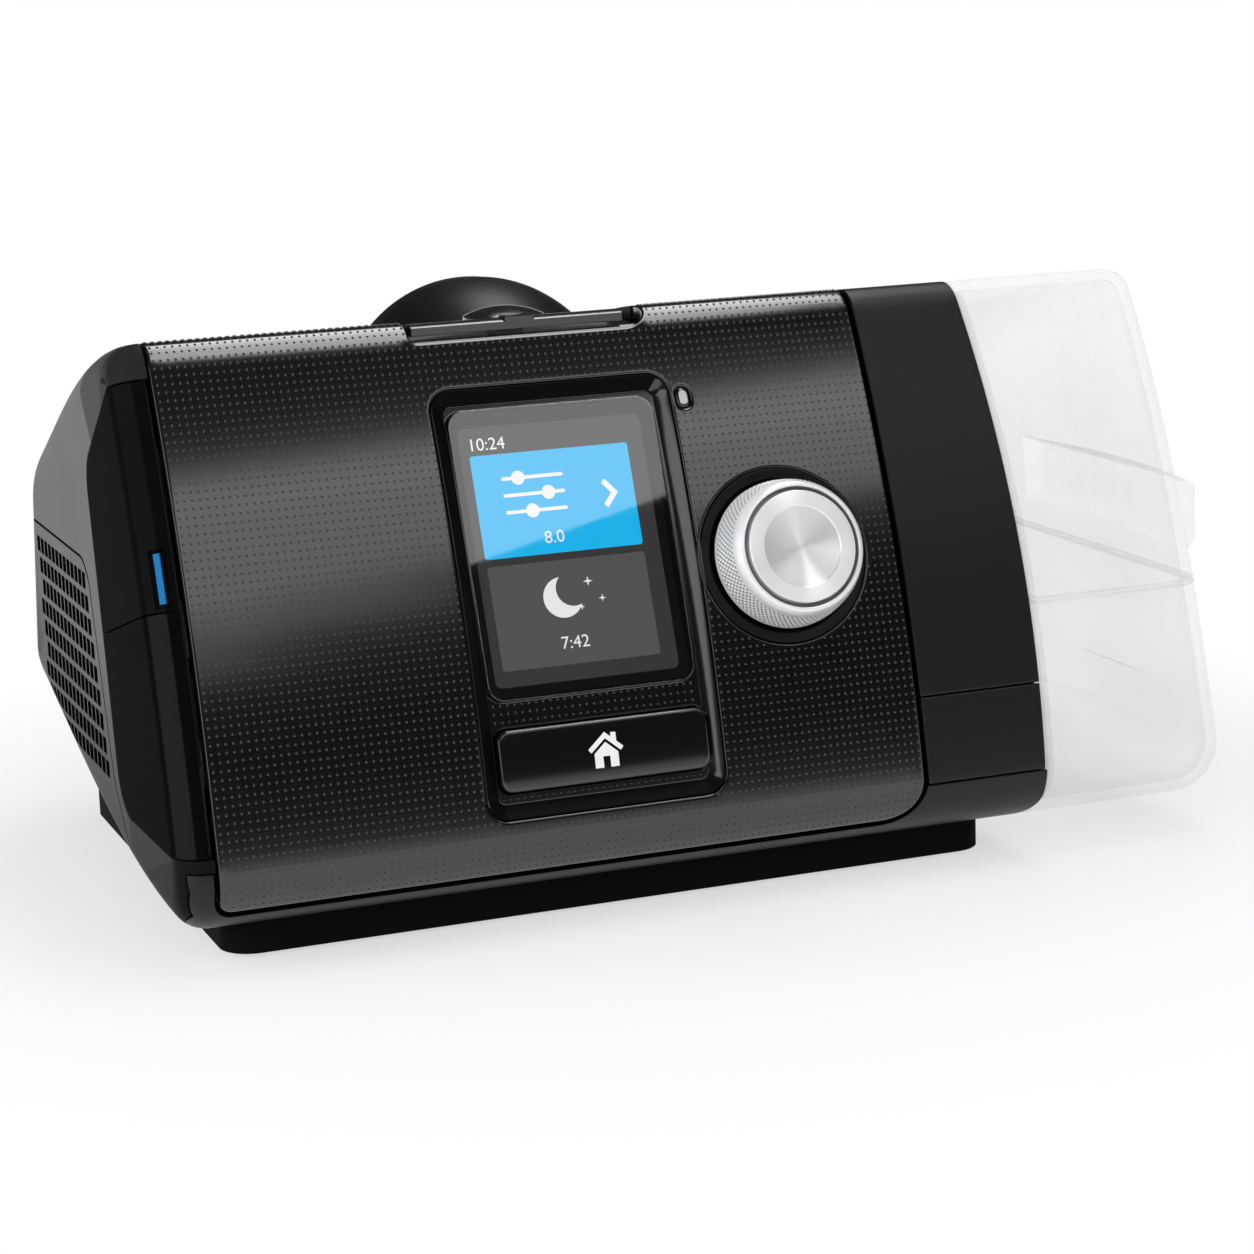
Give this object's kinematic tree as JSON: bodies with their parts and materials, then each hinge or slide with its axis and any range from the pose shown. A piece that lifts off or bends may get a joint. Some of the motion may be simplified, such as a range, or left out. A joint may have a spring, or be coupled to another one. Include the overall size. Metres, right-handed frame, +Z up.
{
  "type": "cpap machine",
  "caption": "Bedside CPAP machine with a dotted gloss fascia, colour screen, knurled metal dial, start key, hinged side covers and a clear slide-in water tub.",
  "frame": {"origin": "on the table under the middle of the machine, at the bottom of its rubber feet", "axes": "+X from the card side to the water tub, +Y from the display to the air outlet, +Z up"},
  "size_m": [0.205, 0.152, 0.1045],
  "materials": {
    "gloss_black": "polished black with a fine grid of raised dots",
    "satin_black": "fine satin texture",
    "matte_black": "matte mould texture",
    "end_grey": "satin mid grey",
    "catch_blue": "bright blue, smooth",
    "window_glass": "black-tinted clear window",
    "screen_face": "backlit colour screen",
    "knob_metal": "diamond-knurled and spun bright aluminium",
    "steel": "brushed",
    "contact_brass": "bright contact metal",
    "coil_copper": "enamelled copper winding",
    "rubber_grey": "soft matte silicone",
    "board_green": "solder-masked circuit board",
    "inner_plastic": "plain moulded inner plastic",
    "wheel_white": "natural white moulded plastic",
    "filter_white": "white filter felt",
    "foam_grey": "open-cell foam",
    "tub_clear": "clear moulded plastic"
  },
  "bodies": {
    "root": {"fascia": "gloss_black", "bay_cover": "satin_black", "main_housing": "satin_black", "base_tray": "satin_black", "left_frame": "end_grey", "air_filter": "filter_white", "filter_seat": "inner_plastic", "display_well": "satin_black", "display_glass": "window_glass", "screen_module": "screen_face", "light_sensor": "window_glass", "home_switch": "inner_plastic", "main_board": "board_green", "dial_ring": "matte_black", "dial_encoder": "inner_plastic", "key_shelf": "satin_black", "start_switch": "board_green", "card_socket": "steel", "adapter_socket": "inner_plastic", "blower_housing": "inner_plastic", "blower_lid": "inner_plastic", "motor_stator": "coil_copper", "motor_plate": "inner_plastic", "motor_bearings": "steel", "blower_isolators": "rubber_grey", "inlet_muffler": "foam_grey", "blower_duct": "inner_plastic", "outlet_duct": "inner_plastic", "flow_sensor": "board_green", "outlet_hood": "satin_black", "outlet_port": "matte_black", "bay_liner": "matte_black", "heater_plate": "steel", "dock_seals": "rubber_grey", "power_inlet": "matte_black", "inlet_pins": "contact_brass", "foot_base": "matte_black", "foot_screws": "steel", "rubber_feet": "rubber_grey"},
    "dial_press": {"dial_carrier": "inner_plastic"},
    "dial_spin": {"dial_knob": "knob_metal", "dial_cap": "knob_metal", "dial_shaft": "steel"},
    "home_press": {"home_button": "satin_black"},
    "start_press": {"start_key": "satin_black", "start_lens": "window_glass"},
    "card_door": {"card_cover": "satin_black", "blue_catch": "catch_blue"},
    "adapter_door": {"adapter_cover": "satin_black"},
    "filter_door": {"filter_cover": "end_grey"},
    "tub": {"tub_base": "tub_clear", "tub_lid": "tub_clear", "tub_seal": "rubber_grey", "tub_steel_plate": "steel"},
    "fan": {"impeller": "wheel_white", "motor_rotor": "steel", "motor_shaft": "steel"},
    "clip": {"cord_clip": "satin_black"},
    "card": {"memory_card": "matte_black"}
  },
  "joints": [
    {"name": "dial_push", "type": "slide", "parent": "root", "child": "dial_press", "axis": [0, 0.9449, -0.3272], "range_m": [0, 0.0008], "stiffness_N_per_m": 1500, "springref_m": -0.0005},
    {"name": "dial_turn", "type": "hinge", "parent": "dial_press", "child": "dial_spin", "pos_m": [0.0121, -0.06382, 0.0599], "axis": [0, -0.9449, 0.3272], "continuous": true},
    {"name": "home_push", "type": "slide", "parent": "root", "child": "home_press", "axis": [0, 0.9757, -0.2193], "range_m": [0, 0.0008], "stiffness_N_per_m": 1500, "springref_m": -0.0005},
    {"name": "start_push", "type": "slide", "parent": "root", "child": "start_press", "axis": [0, 0, -1], "range_m": [0, 0.0006], "stiffness_N_per_m": 2000, "springref_m": -0.0005},
    {"name": "card_door_hinge", "type": "hinge", "parent": "root", "child": "card_door", "pos_m": [-0.1025, -0.0227, 0.06], "axis": [0, -0.1949, -0.9808], "range_deg": [0, 100]},
    {"name": "adapter_door_hinge", "type": "hinge", "parent": "root", "child": "adapter_door", "pos_m": [-0.1025, -0.0227, 0.06], "axis": [0, -0.1949, -0.9808], "range_deg": [0, 100]},
    {"name": "filter_door_hinge", "type": "hinge", "parent": "root", "child": "filter_door", "pos_m": [-0.07, 0.0563, 0.04], "axis": [0, 0, -1], "range_deg": [0, 90]},
    {"name": "tub_slide", "type": "slide", "parent": "root", "child": "tub", "axis": [1, 0, 0], "range_m": [0, 0.12]},
    {"name": "fan_spin", "type": "hinge", "parent": "root", "child": "fan", "pos_m": [-0.058, -0.008, 0.04], "axis": [0, 0, 1], "continuous": true},
    {"name": "clip_hinge", "type": "hinge", "parent": "root", "child": "clip", "pos_m": [0.038, 0.05388, 0.055], "axis": [-1, 0, 0], "range_deg": [0, 165]},
    {"name": "card_push", "type": "slide", "parent": "root", "child": "card", "axis": [-1, 0, 0], "range_m": [-0.001, 0.005]}
  ]
}
